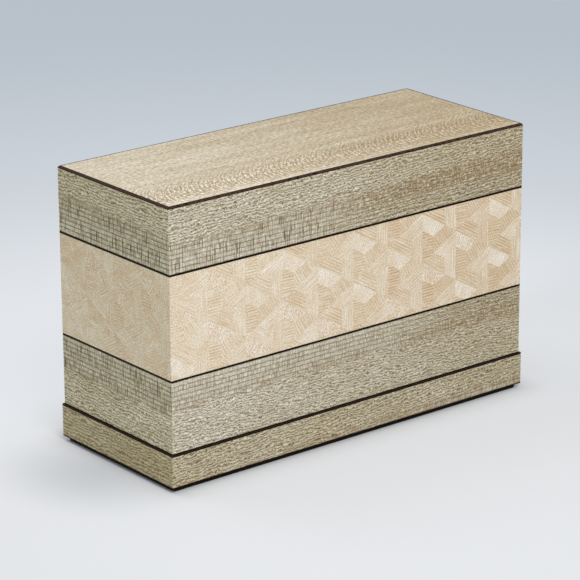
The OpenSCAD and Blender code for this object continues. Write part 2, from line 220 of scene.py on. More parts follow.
class Graph:
    """A shader tree, with methods that add a node and feed it in one step."""

    def __init__(self, tree: NodeTree) -> None:
        """Works on one tree."""
        self.tree = tree

    @classmethod
    def emptied(cls, owner: Material | World) -> "Graph":
        """Clears a material's or world's own nodes.

        Args:
            owner: The material or world.

        Returns:
            Its graph.
        """
        owner.use_nodes = True
        owner.node_tree.nodes.clear()
        return cls(owner.node_tree)

    def add(self, kind: str, feeds: dict[int | str, Feed] | None = None, **options: Any) -> Node:
        """Adds a node.

        Args:
            kind: The node's type, without the ShaderNode at its start.
            feeds: What goes into its inputs, by name or number.
            options: The node's own settings.

        Returns:
            The new node.
        """
        node = self.tree.nodes.new("ShaderNode" + kind)
        for name, value in options.items():
            setattr(node, name, value)
        for name, value in (feeds or {}).items():
            self.feed(node.inputs[name], value)
        return node

    def value(
        self, kind: str, feeds: dict[int | str, Feed] | None = None, output: int | str = 0, **options: Any
    ) -> Value:
        """Adds a node, as add does, and returns one of its outputs, given by name or number."""
        return Value(self, self.add(kind, feeds, **options).outputs[output])

    def feed(self, target: NodeSocket, value: Feed) -> None:
        """Links a value to an input, or sets the input's own number, vector or colour.

        Args:
            target: The input.
            value: What goes in.
        """
        if isinstance(value, Value):
            self.tree.links.new(value.socket, target)
        elif target.type == "RGBA" and len(value) == 3:
            target.default_value = (*value, 1.0)
        else:
            target.default_value = value

    def joined(self, x: Feed, y: Feed) -> Value:
        """Returns a flat vector made of two numbers."""
        return self.value("CombineXYZ", {0: x, 1: y})

    def attribute(self, name: str, output: str = "Vector") -> Value:
        """Returns one of the mesh's own attributes."""
        return self.value("Attribute", output=output, attribute_name=name)

    def seen_by(self, *rays: str) -> Value:
        """Tells kinds of ray from others.

        Args:
            rays: The kinds, such as Camera.

        Returns:
            1 for those kinds and 0 for the others.
        """
        first, *others = (self.value("LightPath", output=f"Is {ray} Ray") for ray in rays)
        for other in others:
            first = first.math("MAXIMUM", other)
        return first

    def place(self, group: NodeTree, **feeds: Feed) -> dict[str, Value]:
        """Places a node group.

        Args:
            group: The group.
            feeds: What goes into its inputs, by name with an underscore for each space.

        Returns:
            Its outputs, by name.
        """
        spaced = {name.replace("_", " "): value for name, value in feeds.items()}
        node = self.add("Group", spaced, node_tree=group)
        return {socket.name: Value(self, socket) for socket in node.outputs}


class GroupGraph(Graph):
    """A node group that is being built. Its first input is a place in millimetres on the veneer."""

    def __init__(self, name: str, **defaults: float | None) -> None:
        """Starts a group.

        Args:
            name: The group's name.
            defaults: Its other inputs, with a number for each, or None for a colour. An underscore in a name
                stands for a space.
        """
        super().__init__(bpy.data.node_groups.new(name, "ShaderNodeTree"))
        self.socket("Vector", "INPUT", "Vector")
        for label, number in defaults.items():
            made = self.socket(label, "INPUT", "Color" if number is None else "Float")
            if number is not None:
                made.default_value = number
        node = self.tree.nodes.new("NodeGroupInput")
        self.given = [Value(self, socket) for socket in node.outputs if socket.name]

    def socket(self, label: str, way: str, kind: str) -> NodeTreeInterfaceSocket:
        """Adds an input or an output to the group."""
        label = label.replace("_", " ")
        return self.tree.interface.new_socket(label, in_out=way, socket_type="NodeSocket" + kind)

    def finished(self, **results: Value) -> NodeTree:
        """Adds the group's outputs.

        Args:
            results: What each output gives, by name.

        Returns:
            The group.
        """
        for label, value in results.items():
            self.socket(label, "OUTPUT", "Color" if value.socket.type == "RGBA" else "Float")
        inputs = self.tree.nodes.new("NodeGroupOutput").inputs
        for label, value in results.items():
            self.feed(inputs[label], value)
        return self.tree


@lru_cache(maxsize=None)
def fibre_group() -> NodeTree:
    """Wood fibres: fine streaks along the grain, and short pores.

    Returns:
        A group whose streaks are as long and wide as it is told, in millimetres.
    """
    graph = GroupGraph("WoodFibre", Streak_Length=12.0, Streak_Width=0.4)
    place, length, width = graph.given
    along, across, _ = place.parts()
    streak_place = graph.joined(along / length, across / width)
    return graph.finished(
        Streaks=streak_place.noise(1.0, 1.0, 3.0, 0.6),
        Pores=streak_place.noise(6.0, 1.6, 1.0).step(0.62, 0.74),
    )


@lru_cache(maxsize=None)
def ripple_group() -> NodeTree:
    """Close wavy lines along the grain that break off and start again.

    Returns:
        A group that gives a height from about -1 to 1.
    """
    graph = GroupGraph("RippleFigure", Period=1.75, Slant=0.0)
    place, period, slant = graph.given
    along, across, _ = place.parts()
    drift = place.noise(0.05, 0.12).span(-2.4, 2.4)
    sway = place.noise(0.22, 0.42, 2.0, 0.6).span(-1.2, 1.2)
    tremble = place.noise(0.75, 0.6, 1.0).span(-0.9, 0.9)
    waved = across + along * slant + drift + sway + tremble
    wave = (waved / period * math.tau).math("SINE")
    strength = place.noise(0.5, 0.9, 2.0, 0.6).step(0.28, 0.6).span(0.45, 1.15)
    breaks = place.noise(0.75, 1.3, 1.0, 0.6).span(-0.8, 0.8)
    return graph.finished(Ripple=wave * strength + breaks)


@lru_cache(maxsize=None)
def ladder_group() -> NodeTree:
    """Quartered figure near a board's figured edge: rows of pale cells between dark dashes.

    Returns:
        A group whose place is measured from the figured edge across the grain.
    """
    graph = GroupGraph("LadderFigure", Ladder=1.0, Reach=15.0, Long_Share=1.0, Short_Share=0.55)
    place, ladder, reach, long_share, short_share = graph.given
    along, across, _ = place.parts()
    drift = place.noise(0.11, 0.16).span(-5.0, 5.0)
    edge = across + drift + place.noise(1.1, 0.9, 1.0).span(-2.0, 2.0)
    inside = edge.step(reach + EDGE_FADE_MM, reach - EDGE_FADE_MM)
    cells = inside * ladder.step(0.25, 0.7)

    sway = place.noise(0.34, 0.42, 2.0, 0.6).span(-0.5, 0.5)
    row = (across + sway) / LADDER_ROW_MM
    from_rung = (row.math("FRACT") - 0.5).math("ABSOLUTE")
    gaps = place.noise(0.4, 0.38, 1.0).step(0.25, 0.5)
    rungs = from_rung.step(0.28, 0.46) * gaps.span(0.35, 1.0)

    clusters = place.noise(0.26, 0.05, 1.0).step(0.38, 0.5)
    long_dashes = place.noise(1.6, 0.09, 1.0).step(0.53, 0.66) * clusters.span(0.4, 1.45) * long_share
    row_number = row.math("FLOOR")
    short_place = graph.joined(along * 1.7 + row_number, row_number)
    short_dashes = short_place.noise(1.0, 37.7, 1.0).step(0.55, 0.68) * short_share

    fine = place.noise(1.0, 0.19, 1.0).step(0.5, 0.58) * edge.step(6.0, 12.0).span(0.1, 1.0)
    broad = place.noise(0.14, 0.2, 1.0).step(0.2, 0.55)
    blots = place.noise(0.8, 0.7).step(0.48, 0.66)
    return graph.finished(
        Cells=cells,
        Rungs=rungs * (inside * 0.7 + cells * 0.3),
        Dashes=long_dashes.math("MAXIMUM", short_dashes) * cells,
        Flecks=fine * (inside - cells * 0.5) * broad,
        Spots=inside * (1.0 - inside) * 4.0 * blots,
    )


@lru_cache(maxsize=None)
def polish_group() -> NodeTree:
    """Hand-rubbed polish: the sheen drifts slowly and dulls a little in small patches.

    Returns:
        A group that gives a roughness around the one it takes.
    """
    graph = GroupGraph("HandPolish", Roughness=0.4, Spread=0.1)
    place, roughness, spread = graph.given
    drift = place.noise(0.5, 0.9, 2.0, 0.7) * 0.4 + place.noise(0.02, 0.035) * 0.6
    return graph.finished(Roughness=(drift - 0.5) * spread * 2.0 + roughness)


@lru_cache(maxsize=None)
def worn_edge_group() -> NodeTree:
    """Lighter colour in broken stretches on the marked faces: the finish rubbed thin on eased edges, and a
    painted highlight on upward chamfers.

    Returns:
        A group that blends a lighter colour over the finish where the mask says so.
    """
    graph = GroupGraph("WornEdge", Finish=None, Bare=None, Wear=0.0, Amount=0.5)
    place, finish, bare, wear, amount = graph.given
    stretches = place.noise(0.35, 0.35, 3.0, 0.6).step(0.25, 0.6)
    return graph.finished(Worn=(wear * amount * stretches).mix(finish, bare))


# ---------------------------------------------------------------- finishes


def toned(colour: Colour, by: float) -> Colour:
    """Returns a colour made lighter or darker."""
    return tuple(by * part for part in colour)


def fibres(place: Value, length_mm: float, width_mm: float) -> tuple[Value, Value]:
    """Places wood fibres.

    Args:
        place: Where on the veneer, in millimetres.
        length_mm: The length of a streak.
        width_mm: Its width.

    Returns:
        The streaks, around 0, and the pores.
    """
    made = place.graph.place(fibre_group(), Vector=place, Streak_Length=length_mm, Streak_Width=width_mm)
    return made["Streaks"] - 0.5, made["Pores"]


def worn(place: Value, finish: Value, bare: Colour, amount: float) -> Value:
    """Gives the marked faces a lighter colour: the finish rubbed thin on eased edges, and a painted highlight
    on upward chamfers.

    Args:
        place: Where on the veneer, in millimetres.
        finish: The colour of the sound finish.
        bare: The lighter colour, for rubbed edges and the painted chamfer highlight.
        amount: How strongly the lighter colour shows.

    Returns:
        The colour with its lighter rubbed edges and painted chamfer highlights.
    """
    graph = place.graph
    feeds = {"Finish": finish, "Bare": bare, "Wear": graph.attribute(RUB_AND_HIGHLIGHT_LAYER, "Fac"), "Amount": amount}
    return graph.place(worn_edge_group(), Vector=place, **feeds)["Worn"]


@dataclass(frozen=True)
class Finish:
    """What every finish has: its name, the record's slot, its sheen and its relief."""

    name: str
    slot: str
    roughness: float = 0.42
    roughness_spread: float = 0.08
    specular: float = 0.5
    metallic: float = 0.0
    sheen: float = 0.0
    bump_mm: float = 0.02
    bump_strength: float = 0.6

    def material(self) -> Material:
        """Returns the finish's material, which is built once."""
        return bpy.data.materials.get(self.name) or self.built()

    def built(self) -> Material:
        """Builds the material around the finish's own colour and height.

        Returns:
            The new material.
        """
        made = bpy.data.materials.new(self.name)
        graph = Graph.emptied(made)
        place = graph.value("UVMap", uv_map=GRAIN_MAP).scaled((1 / MM, 1 / MM, 0.0))
        colour, height = self.pattern(place)
        polish = graph.place(
            polish_group(), Vector=place, Roughness=self.roughness, Spread=self.roughness_spread
        )
        relief = {"Strength": self.bump_strength, "Distance": self.bump_mm * MM, "Height": height}
        shader = graph.value("BsdfPrincipled", {
            "Base Color": colour,
            "Roughness": polish["Roughness"],
            "Metallic": self.metallic,
            "Specular IOR Level": self.specular,
            "Sheen Weight": self.sheen,
            "Normal": graph.value("Bump", relief),
        })
        graph.add("OutputMaterial", {0: shader})
        return made

    def pattern(self, place: Value) -> tuple[Value, Value]:
        """Adds the finish's own pattern.

        Args:
            place: Where on the veneer, in millimetres.

        Returns:
            The colour and the height.
        """
        raise NotImplementedError


@dataclass(frozen=True)
class Lacewood(Finish):
    """Quartered lacewood veneer under a satin finish."""

    slot: str = "lacewood"
    pale: Colour = (0.495, 0.443, 0.335)
    warm: Colour = (0.395, 0.33, 0.205)
    brown: Colour = (0.24, 0.145, 0.07)
    amber: Colour = (0.31, 0.19, 0.075)
    cool: Colour = (0.49, 0.465, 0.37)
    tint_powers: Colour = (0.88, 1.0, 1.25)
    ripple_period: float = 1.75
    ripple_slant: float = -0.05
    ripple_depth: float = 0.54
    streak_length: float = 2.6
    streak_width: float = 0.45
    streak_depth: float = 1.6
    rung_depth: float = 0.56
    dash_depth: float = 0.6
    fleck_depth: float = 0.4
    long_share: float = 1.0
    short_share: float = 0.55

    def pattern(self, place: Value) -> tuple[Value, Value]:
        """Adds ripples, ladder cells, brown flecks and fibres.

        Args:
            place: Where on the veneer, in millimetres.

        Returns:
            The colour and the height.
        """
        graph = place.graph
        clearness, warmth, reach = graph.attribute(FIGURE_LAYER).parts()
        shares = {"Long_Share": self.long_share, "Short_Share": self.short_share}
        ladder = graph.place(ladder_group(), Vector=place, Ladder=clearness, Reach=reach, **shares)
        cells = ladder["Cells"]
        streaks, pores = fibres(place, self.streak_length, self.streak_width)

        calm = 1.0 - cells * 0.6
        shade = self.ripple(place, self.ripple_slant) * calm * self.ripple_depth + 1.0
        shade = shade + streaks * calm * self.streak_depth + cells * 0.3
        depths = {"Rungs": self.rung_depth, "Dashes": self.dash_depth, "Flecks": self.fleck_depth}
        for name, depth in depths.items():
            shade = shade * (1.0 - ladder[name] * depth)

        ground = (cells * 0.4).mix(self.ground(place, warmth), self.cool)
        colour = ground.scaled(shade.tint(self.tint_powers))
        browned = ladder["Dashes"] * 0.25 + ladder["Spots"] * 0.5 + pores * 0.12
        colour = browned.mix(colour, self.brown)
        colour = (ladder["Flecks"] * 0.65).mix(colour, self.amber)
        return worn(place, colour, toned(self.pale, 1.15), 0.5), shade - pores * 0.5

    def ripple(self, place: Value, slant: float) -> Value:
        """Returns the height of the ripples, which run at a slant to the fibres."""
        feeds = {"Period": self.ripple_period, "Slant": slant}
        return place.graph.place(ripple_group(), Vector=place, **feeds)["Ripple"]

    def ground(self, place: Value, warmth: Value) -> Value:
        """Returns the ground colour, which drifts between pale and warm in long patches."""
        patches = place.noise(0.018, 0.07, 3.0, 0.6) - 0.5
        return (patches * 1.2 + warmth).mix(self.pale, self.warm)


@dataclass(frozen=True)
class SweptLacewood(Lacewood):
    """Lacewood whose ripples sweep slantwise over the board and turn in at its front edge."""

    pale: Colour = (0.785, 0.68, 0.50)
    warm: Colour = (0.575, 0.435, 0.24)
    brown: Colour = (0.45, 0.29, 0.13)
    ripple_period: float = 3.0
    ripple_depth: float = 0.36
    streak_length: float = 2.2
    streak_width: float = 1.5
    streak_depth: float = 1.5
    fleck_depth: float = 0.42
    sweep: float = 0.025
    turn_mm: float = 8.0

    def pattern(self, place: Value) -> tuple[Value, Value]:
        """Adds swept ripples, faint long bands, and brown flecks where the ripples turn.

        Args:
            place: Where on the veneer, in millimetres.

        Returns:
            The colour and the height.
        """
        _, warmth, _ = place.graph.attribute(FIGURE_LAYER).parts()
        streaks, pores = fibres(place, self.streak_length, self.streak_width)
        along, across, _ = place.parts()
        beyond = across - self.turn_mm
        swept_place = place.graph.joined(across, along - beyond * beyond * self.sweep)
        dashes = swept_place.noise(0.4, 0.62, 2.0, 0.7) - 0.5
        bands = place.noise(0.01, 0.2) - 0.5

        turning = across.step(34.0, 18.0) * across.step(0.0, 8.0)
        flecks = turning * swept_place.noise(0.36, 1.15, 1.0).step(0.52, 0.6)
        ripple_depth = turning.span(0.3 * self.ripple_depth, self.ripple_depth)
        shade = across.step(6.0, 26.0).span(1.12, 0.965) + bands * 0.4
        shade = shade + self.ripple(swept_place, 0.0) * ripple_depth
        shade = shade + dashes * 1.1 + streaks * self.streak_depth
        shade = shade * (1.0 - flecks * self.fleck_depth)
        colour = self.ground(place, warmth).scaled(shade.tint(self.tint_powers))
        return (flecks * 0.85 + pores * 0.1).mix(colour, self.brown), shade - pores * 0.5


@dataclass(frozen=True)
class TileVeneer(Finish):
    """Pale maple tiles, whose brown depth (a painted sheen by fibre direction, with a random difference),
    stripes and speckles come from each tile's own attribute.
    """

    base: Colour = (0.752, 0.645, 0.498)
    end_base: Colour = (0.75, 0.65, 0.462)
    amber: Colour = (0.70, 0.50, 0.29)
    speckle: Colour = (0.50, 0.27, 0.11)
    tint_powers: Colour = (0.6, 1.0, 1.65)
    stripe_mm: float = 1.65

    def pattern(self, place: Value) -> tuple[Value, Value]:
        """Adds growth lines, fibres, speckles and the tile's brown depth, which carries its painted sheen.

        Args:
            place: Where on the veneer, in millimetres.

        Returns:
            The colour and the height.
        """
        # The first channel is the tile's brown depth: a painted sheen by fibre direction and side, with a
        # random difference.
        sheen_and_tone, lined, speckled = place.graph.attribute(TILE_LAYER).parts()
        end_part = place.graph.attribute(TILE_LAYER, "Alpha")
        streaks, pores = fibres(place, length_mm=14.0, width_mm=0.42)
        _, across, _ = place.parts()

        wander = place.noise(0.05, 0.2).span(-0.3, 0.3)
        lines = ((across + wander) / self.stripe_mm * math.tau).math("SINE").step(0.0, 1.0)
        stripes = lines * place.noise(0.12, 0.8).step(0.28, 0.5) * lined
        dots = place.noise(1.0, 1.1, 0.0).step(0.57, 0.64) * speckled
        patches = place.noise(0.09, 0.12) - 0.5
        mottle = place.noise(1.2, 1.6, 2.0, 0.7) - 0.5
        ambered = place.noise(0.08, 0.13, 2.0, 0.7).step(0.56, 0.68) * end_part.span(0.12, 0.45)

        depth = sheen_and_tone + patches * 0.3 + streaks * 0.85 + mottle * end_part.span(1.3, 1.65)
        depth = depth + stripes * 0.46 + pores * 0.1
        colour = ambered.mix(end_part.mix(self.base, self.end_base), self.amber)
        colour = colour.scaled((depth * -1.0).math("EXPONENT").tint(self.tint_powers))
        colour = (dots * 0.6).mix(colour, self.speckle)
        return worn(place, colour, toned(self.base, 1.1), 0.4), 1.0 - (stripes + pores)


@dataclass(frozen=True)
class DarkWood(Finish):
    """Blackened hardwood of the stringing, edgings and foot."""

    base: Colour = (0.008, 0.004, 0.0022)
    light: Colour = (0.017, 0.010, 0.006)
    pore: Colour = (0.004, 0.003, 0.003)
    # Lighter brown of rubbed edges, and the painted highlight on the edgings' upward chamfers.
    bare: Colour = (0.082, 0.046, 0.03)

    def pattern(self, place: Value) -> tuple[Value, Value]:
        """Adds close, dark grain.

        Args:
            place: Where on the veneer, in millimetres.

        Returns:
            The colour and the height.
        """
        streaks, pores = fibres(place, length_mm=14.0, width_mm=0.3)
        colour = streaks.step(-0.2, 0.3).mix(self.base, self.light)
        colour = (pores * 0.6).mix(colour, self.pore)
        # The lighter brown shows on rubbed edges and, as a painted highlight, on upward chamfers.
        return worn(place, colour, self.bare, 0.8), streaks - pores


@dataclass(frozen=True)
class InnerWood(Finish):
    """Plain waxed hardwood of the liner, drawer and mechanism."""

    early: Colour = (0.60, 0.44, 0.27)
    late: Colour = (0.45, 0.30, 0.16)
    pore: Colour = (0.22, 0.13, 0.06)
    ring_mm: float = 5.5

    def pattern(self, place: Value) -> tuple[Value, Value]:
        """Adds growth rings that wander along the board, fibres, rays and pores.

        Args:
            place: Where on the veneer, in millimetres.

        Returns:
            The colour and the height.
        """
        streaks, pores = fibres(place, length_mm=22.0, width_mm=0.5)
        _, across, _ = place.parts()
        wander = place.noise(0.012, 0.05).span(-9.0, 9.0)
        rings = ((across + wander) / self.ring_mm).math("FRACT")
        late_part = rings.step(0.1, 0.95) * rings.step(1.0, 0.93) + streaks * 0.9
        rays = place.noise(1.0, 0.35, 1.0).step(0.62, 0.75)
        colour = (late_part * 0.75).mix(self.early, self.late)
        colour = (rays * 0.3).mix(colour, self.late)
        colour = (pores * 0.35).mix(colour, self.pore)
        return worn(place, colour, toned(self.early, 1.2), 0.45), streaks - pores


@dataclass(frozen=True)
class Felt(Finish):
    """Pressed wool felt."""

    shade: Colour = (0.035, 0.055, 0.045)
    lint: Colour = (0.10, 0.13, 0.11)

    def pattern(self, place: Value) -> tuple[Value, Value]:
        """Adds matted fibres.

        Args:
            place: Where on the felt, in millimetres.

        Returns:
            The colour and the height.
        """
        clumps = place.noise(0.12, 0.12) - 0.5
        fuzz = place.noise(1.2, 7.0, 2.0, 0.6) * 0.4 + place.noise(3.0, 3.0, 4.0, 0.75) * 0.6
        return (clumps * 0.7 + fuzz.step(0.3, 0.75)).mix(self.shade, self.lint), fuzz


@dataclass(frozen=True)
class TurnedMetal(Finish):
    """Turned or ground metal with fine tool lines."""

    tint: Colour = (0.62, 0.63, 0.65)

    def pattern(self, place: Value) -> tuple[Value, Value]:
        """Adds tool lines and a slight tarnish.

        Args:
            place: Where on the metal, in millimetres.

        Returns:
            The colour and the height.
        """
        tarnish = place.noise(0.6, 0.6, 3.0, 0.6).step(0.5, 0.8)
        return tarnish.mix(self.tint, toned(self.tint, 0.6)), place.noise(0.4, 14.0, 2.0, 0.6)


LACEWOOD = Lacewood("satin_lacewood")
LACEWOOD_SIDE = Lacewood(
    "dusky_lacewood", pale=(0.546, 0.49, 0.32), warm=(0.378, 0.311, 0.15),
    cool=(0.499, 0.48, 0.33), tint_powers=(0.9, 1.0, 1.45), ripple_period=1.9, ripple_slant=0.0,
    ripple_depth=0.58, streak_depth=1.3, rung_depth=0.7, dash_depth=0.68,
)
LACEWOOD_BAND = Lacewood(
    "brick_lacewood", ripple_period=1.6, streak_length=3.6, dash_depth=0.5, long_share=0.4, short_share=0.95
)
LACEWOOD_LOW = Lacewood("close_lacewood", ripple_depth=0.6)
LACEWOOD_TOP = SweptLacewood("polished_lacewood", "lacewood_top", roughness=0.36)
TILES = TileVeneer("maple_tiles", "parquetry")
DARK_WOOD = DarkWood("blackened_wood", "dark_wood", specular=0.06)
INNER_WOOD = InnerWood("waxed_wood", "inner_wood", roughness=0.5, bump_mm=0.03)
FELT = Felt(
    "pressed_felt", "felt", roughness=0.95, roughness_spread=0.02, specular=0.1, sheen=0.35, bump_mm=0.25
)
STEEL = TurnedMetal("bright_nickel", "magnet_steel", roughness=0.25, metallic=1.0, bump_mm=0.004)
BRASS = TurnedMetal(
    "drawn_brass", "pin_brass", roughness=0.28, metallic=1.0, bump_mm=0.004, tint=(0.72, 0.55, 0.25)
)


# ---------------------------------------------------------------- pieces


@dataclass(frozen=True)
class GrainCut:
    """How a board was cut from the log: where its fibres run and where its figured edge lies."""

    axis: Axis = Axis.X
    figured_edge: Point = (0.0, 0.0, 0.0)
    end_grain_scale: float = 6.0

    def place_on(self, point: Vector, facing: int, shift: float) -> Pair:
        """Gives a point's place on the veneer.

        Args:
            point: The point, in the box's frame.
            facing: The axis that the face looks along.
            shift: How far along the log this board starts.

        Returns:
            The place along and across the fibres, in metres.
        """
        local = point - Vector(self.figured_edge)
        if facing == self.axis.value:
            first, second = (axis for axis in range(3) if axis != facing)
            return local[first] * self.end_grain_scale + shift, local[second] * self.end_grain_scale
        return local[self.axis.value] + shift, abs(local[self.axis.across(facing)])


@dataclass(frozen=True)
class Figure:
    """How clear the ladder is, how warm the veneer is and how far the figure reaches, at each end."""

    ladder: Pair = (1.0, 1.0)
    warmth: Pair = (0.5, 0.5)
    reach_mm: Pair = (15.0, 15.0)

    def at(self, part: float) -> list[float]:
        """Returns the three values at a place, from 0 at one end to 1 at the other."""
        return [ends[0] + (ends[1] - ends[0]) * part for ends in (self.ladder, self.warmth, self.reach_mm)]


@dataclass(frozen=True)
class Veneering:
    """The veneer of a band and its figure, on the long sides and on the short ones."""

    long: tuple[Lacewood, Figure]
    short: tuple[Lacewood, Figure]

    def on(self, side: Side) -> tuple[Lacewood, Figure]:
        """Returns the veneer and figure of one side."""
        return self.long if side.is_long else self.short


class Shape:
    """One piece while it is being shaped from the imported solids."""

    def __init__(self, node: str) -> None:
        """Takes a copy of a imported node's solids, with their loose triangles merged.

        Args:
            node: The node's name.
        """
        self.node = node
        self.chance = random.Random(node)
        self.mesh = bmesh.new()
        self.mesh.from_mesh(bpy.data.objects[node].data)
        bmesh.ops.remove_doubles(self.mesh, verts=self.mesh.verts, dist=MERGE_DISTANCE)
        bmesh.ops.dissolve_limit(
            self.mesh, angle_limit=FLAT_ANGLE, verts=self.mesh.verts, edges=self.mesh.edges
        )
        # One mask for the lighter colour: rubbed eased edges and corner flats, and painted highlights on
        # upward chamfers.
        self.wear = self.mesh.faces.layers.float.new(RUB_AND_HIGHLIGHT_LAYER)

    def ease(self, width: float, segments: int = 2) -> None:
        """Rounds every sharp edge.

        Args:
            width: The width of the rounding, or 0 for none.
            segments: How many facets it has.
        """
        if not width:
            return
        edges = [
            edge
            for edge in self.mesh.edges
            if edge.is_manifold and edge.calc_face_angle() > SHARP_ANGLE
        ]
        made = bmesh.ops.bevel(
            self.mesh, geom=edges, offset=width, offset_type="OFFSET", affect="EDGES", segments=segments,
            profile=0.5, material=-1, clamp_overlap=True,
        )
        self.mark_worn(made["faces"])

    def cut(self, place: Vector, normal: Vector, clear: bool = False) -> list[BMEdge]:
        """Cuts the piece by a plane.

        Args:
            place: A point on the plane.
            normal: The way that the plane faces.
            clear: Whether what lies in front of it is taken away.

        Returns:
            The edges that lie on the cut.
        """
        everything = [*self.mesh.verts, *self.mesh.edges, *self.mesh.faces]
        made = bmesh.ops.bisect_plane(
            self.mesh, geom=everything, plane_co=place, plane_no=normal, clear_outer=clear,
            dist=MERGE_DISTANCE,
        )
        return [part for part in made["geom_cut"] if isinstance(part, BMEdge)]

    def cut_corners(self, half_length: float, half_width: float, width: float) -> None:
        """Planes a narrow flat on the four upright corners of the box.

        Args:
            half_length: Half the length of the box at this height.
            half_width: Half its width.
            width: How far the flat reaches along each face.
        """
        for right, back in ((1, 1), (1, -1), (-1, 1), (-1, -1)):
            corner = Vector((right * (half_length - width), back * half_width, 0))
            rim = self.cut(corner, Vector((right, back, 0)).normalized(), True)
            if rim:
                self.mark_worn(bmesh.ops.holes_fill(self.mesh, edges=rim, sides=0)["faces"])

    def wear_chamfers(self, steepest: float = 0.3, flattest: float = 0.9) -> None:
        """Marks the faces that slant upwards for a painted highlight, which stands in for the light that these
        chamfers catch.

        Args:
            steepest: The upward part of the normal of the steepest face that counts.
            flattest: The same for the flattest one.
        """
        self.mark_worn(face for face in self.mesh.faces if steepest < face.normal.z < flattest)

    def mark_worn(self, faces: Iterable[BMFace]) -> None:
        """Marks faces that get the lighter colour: edges that hands rub, and chamfers with a painted
        highlight.
        """
        for face in faces:
            face[self.wear] = 1.0

    def map_grain(self, board: GrainCut) -> None:
        """Lays the veneer's own map on the piece.

        Args:
            board: How the board was cut.
        """
        layer = self.mesh.loops.layers.uv.new(GRAIN_MAP)
        shift = self.chance.uniform(*LOG_STARTS)
        for face in self.mesh.faces:
            facing = max(range(3), key=lambda axis: abs(face.normal[axis]))
            for loop in face.loops:
                loop[layer].uv = board.place_on(loop.vert.co, facing, shift)

    def mark_figure(self, figure: Figure, axis: Axis, backwards: bool = False) -> None:
        """Writes the figure's clearness, warmth and reach, blended from end to end.

        Args:
            figure: The figure at both ends.
            axis: The axis that the board runs along.
            backwards: Whether its first end is the one with the higher coordinate.
        """
        layer = self.mesh.verts.layers.float_color.new(FIGURE_LAYER)
        places = [vert.co[axis.value] for vert in self.mesh.verts]
        low, high = min(places), max(places)
        for vert in self.mesh.verts:
            part = (vert.co[axis.value] - low) / (high - low)
            vert[layer] = (*figure.at(1 - part if backwards else part), 1.0)

    def finished(self, finish: Finish, body: str) -> Object:
        """Turns the shape into a piece that stands for its node.

        Args:
            finish: The finish it gets.
            body: The body it rides on.

        Returns:
            The new object.
        """
        data = bpy.data.meshes.new(self.node + "_finished")
        for face in self.mesh.faces:
            face.smooth = True
        self.mesh.to_mesh(data)
        self.mesh.free()
        data.set_sharp_from_angle(angle=SHARP_ANGLE)
        data.materials.append(finish.material())
        piece = linked(bpy.data.objects.new(data.name, data))
        piece.modifiers.new("weighted_normals", "WEIGHTED_NORMAL").keep_sharp = True
        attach(piece, body)
        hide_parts(self.node)
        return piece


def linked(thing: Object) -> Object:
    """Puts an object in the scene and returns it."""
    bpy.context.scene.collection.objects.link(thing)
    return thing


@dataclass
class SubAssembly:
    """A group of pieces that ride on one body."""

    body: str
    corner_flat: float = 0.22 * MM
    felt_cells: int = 24
    felt_edge: float = 0.4 * MM
    felt_unevenness: float = 0.12 * MM
    pieces: list[Object] = field(default_factory=list)

    def build(self) -> None:
        """Makes every piece."""
        raise NotImplementedError

    def keep(self, shape: Shape, finish: Finish) -> None:
        """Finishes a shape and adds it to the pieces."""
        self.pieces.append(shape.finished(finish, self.body))

    def plain(self, node: str, finish: Finish, axis: Axis, ease: float = 0.0) -> None:
        """Makes a piece that needs only eased edges, a grain direction and a finish.

        Args:
            node: The node's name.
            finish: Its finish.
            axis: The axis that its fibres run along.
            ease: The width of the rounding on its edges, or 0 for none.
        """
        shape = Shape(node)
        shape.ease(ease)
        shape.map_grain(GrainCut(axis, tuple(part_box(node)[0])))
        self.keep(shape, finish)

    def veneered(
        self, node: str, side: Side, veneering: Veneering, figure_height: float, ease: float = 0.0
    ) -> None:
        """Makes a lacewood board of one side.

        Args:
            node: The node's name.
            side: The side it is on.
            veneering: The veneer and figure of its band.
            figure_height: The height that the ladder figure starts from.
            ease: The width of the rounding on its edges, or 0 for none.
        """
        low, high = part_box(node)
        veneer, figure = veneering.on(side)
        shape = Shape(node)
        shape.ease(ease)
        shape.cut_corners(max(-low.x, high.x), max(-low.y, high.y), self.corner_flat)
        shape.map_grain(GrainCut(side.grain, (0.0, 0.0, figure_height)))
        shape.mark_figure(figure, side.grain, sum(side.rightward) < 0)
        self.keep(shape, veneer)

    def ringed(self, node: str, ease: float = 0.0) -> None:
        """Makes the four mitred strips of dark wood that run round the box in one node.

        Args:
            node: The node's name.
            ease: The width of the rounding on their edges, or 0 for none.
        """
        _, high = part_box(node)
        shape = Shape(node)
        shape.ease(ease)
        shape.cut_corners(high.x, high.y, self.corner_flat)
        # Painted highlight: the upward chamfers take the lighter brown that rubbed edges get.
        shape.wear_chamfers()
        shape.map_grain(GrainCut(Axis.X, tuple(high)))
        self.keep(shape, DARK_WOOD)

    def felted(self, node: str) -> None:
        """Makes a felt lining with soft edges and a slightly uneven face.

        Args:
            node: The node's name.
        """
        low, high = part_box(node)
        shape = Shape(node)
        shape.ease(self.felt_edge, 3)
        for axis, normal in enumerate((Vector((1, 0, 0)), Vector((0, 1, 0)))):
            step = (high[axis] - low[axis]) / self.felt_cells
            for number in range(1, self.felt_cells):
                shape.cut(low + normal * step * number, normal)
        near_top = high.z - self.felt_edge / 4
        for vert in shape.mesh.verts:
            if vert.co.z > near_top:
                vert.co.z -= shape.chance.uniform(0.0, self.felt_unevenness)
        shape.map_grain(GrainCut(Axis.X, tuple(low)))
        self.keep(shape, FELT)


